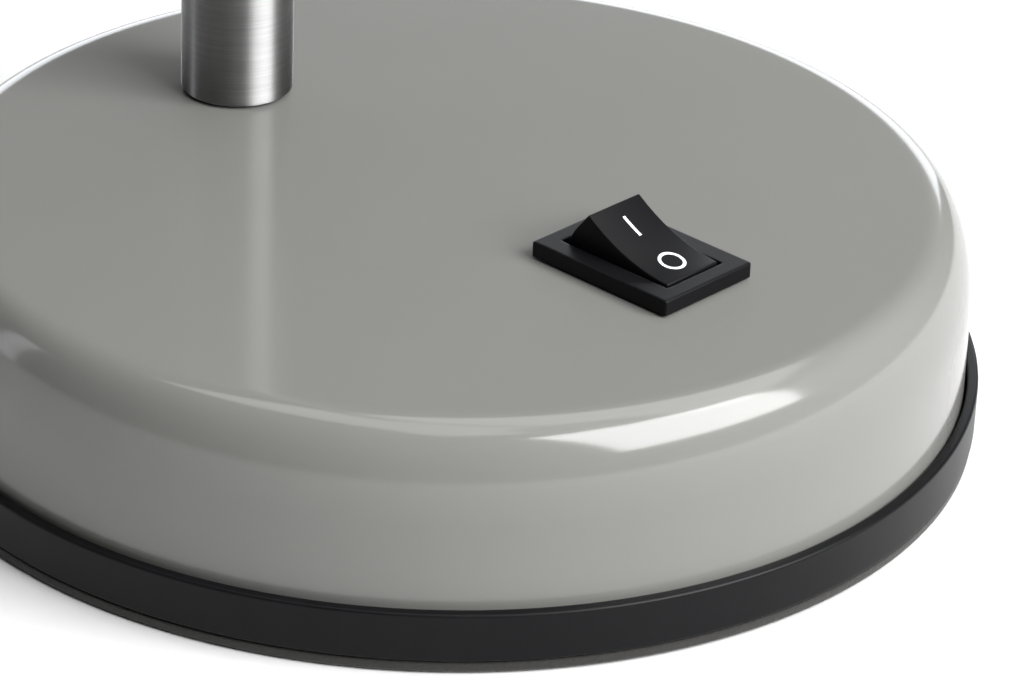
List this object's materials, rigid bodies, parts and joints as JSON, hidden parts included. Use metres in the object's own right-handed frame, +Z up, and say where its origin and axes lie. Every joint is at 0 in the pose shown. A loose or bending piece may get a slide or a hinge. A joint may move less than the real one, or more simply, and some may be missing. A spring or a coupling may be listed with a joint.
{
  "type": "swing arm desk lamp",
  "caption": "Desk lamp with a round weighted base, rocker switch, upright steel stem, swinging and tilting arm and a tilting bell shade.",
  "frame": {"origin": "middle of the foot pad's underside, on the desk", "axes": "+Z up along the base's axis, front towards -Y, stem at the back on +Y"},
  "size_m": [0.1328, 0.2852, 0.4174],
  "materials": {
    "grey_enamel": "high-gloss warm grey enamel on pressed and spun steel",
    "brushed_steel": "steel brushed around its axis, satin",
    "zinc_plate": "bright zinc plated steel",
    "cast_iron": "rough black casting",
    "brass": "plain brass strip",
    "black_plastic": "moulded black plastic, fine satin grain",
    "black_rubber": "matt moulded rubber",
    "foot_foam": "dark closed-cell foam sheet",
    "nylon": "black nylon",
    "connector_plastic": "natural white moulding",
    "brown_insulation": "smooth brown wire insulation",
    "blue_insulation": "smooth blue wire insulation",
    "opal_glass": "white opal bulb glass, unlit"
  },
  "bodies": {
    "base": {"foot_pad": "foot_foam", "base_tray": "black_plastic", "base_cover": "grey_enamel", "ballast": "cast_iron", "tray_screw_1": "zinc_plate", "tray_screw_2": "zinc_plate", "tray_screw_3": "zinc_plate", "tray_screw_4": "zinc_plate", "centre_stud": "zinc_plate", "centre_nut": "zinc_plate", "cable_grommet": "black_rubber", "switch_housing": "black_plastic", "switch_terminal_1": "brass", "switch_terminal_2": "brass", "connector_block": "connector_plastic", "live_lead": "brown_insulation", "neutral_lead": "blue_insulation", "jumper_lead": "brown_insulation", "stem_tube": "brushed_steel", "stem_plug": "zinc_plate", "stem_nipple": "zinc_plate", "stem_washer": "zinc_plate", "stem_nut": "zinc_plate", "stem_bush": "nylon"},
    "rocker": {"switch_rocker": "black_plastic", "rocker_plunger": "zinc_plate"},
    "contact": {"contact_blade": "brass"},
    "swivel": {"swivel_fork": "brushed_steel", "swivel_spigot": "zinc_plate", "swivel_nut": "zinc_plate", "arm_bolt": "zinc_plate", "arm_washer_left": "nylon", "arm_washer_right": "nylon"},
    "arm_clamp": {"arm_knob": "black_plastic"},
    "arm": {"arm_eye": "brushed_steel", "arm_tube": "brushed_steel", "arm_fork": "brushed_steel", "head_bolt": "zinc_plate", "head_washer_left": "nylon", "head_washer_right": "nylon"},
    "head_clamp": {"head_knob": "black_plastic"},
    "head": {"head_tongue": "brushed_steel", "neck_cap": "brushed_steel", "shade": "grey_enamel", "shade_nut": "zinc_plate", "lamp_holder": "black_plastic", "holder_ring": "black_plastic", "bulb_cap": "zinc_plate", "bulb_glass": "opal_glass"}
  },
  "joints": [
    {"name": "switch_rock", "type": "hinge", "parent": "base", "child": "rocker", "pos_m": [0, -0.0322, 0.02835], "axis": [-1, 0, 0], "range_deg": [0, 38]},
    {"name": "blade_rock", "type": "hinge", "parent": "base", "child": "contact", "pos_m": [0, -0.0322, 0.02165], "axis": [-1, 0, 0], "range_deg": [-16.5, 0.5]},
    {"name": "swing", "type": "hinge", "parent": "base", "child": "swivel", "pos_m": [0, 0.036, 0.32215], "axis": [0, 0, 1], "range_deg": [-170, 170]},
    {"name": "arm_clamp_turn", "type": "hinge", "parent": "swivel", "child": "arm_clamp", "pos_m": [0, 0.036, 0.33915], "axis": [1, 0, 0], "range_deg": [0, 270]},
    {"name": "arm_tilt", "type": "hinge", "parent": "swivel", "child": "arm", "pos_m": [0, 0.036, 0.33915], "axis": [-1, 0, 0], "range_deg": [-40, 60]},
    {"name": "head_clamp_turn", "type": "hinge", "parent": "arm", "child": "head_clamp", "pos_m": [0, -0.15664, 0.40926], "axis": [1, 0, 0], "range_deg": [0, 270]},
    {"name": "head_tilt", "type": "hinge", "parent": "arm", "child": "head", "pos_m": [0, -0.15664, 0.40926], "axis": [-1, 0, 0], "range_deg": [-10, 75]}
  ],
  "couplings": [
    {"joint": "blade_rock", "follows": "switch_rock", "ratio": -0.4}
  ]
}
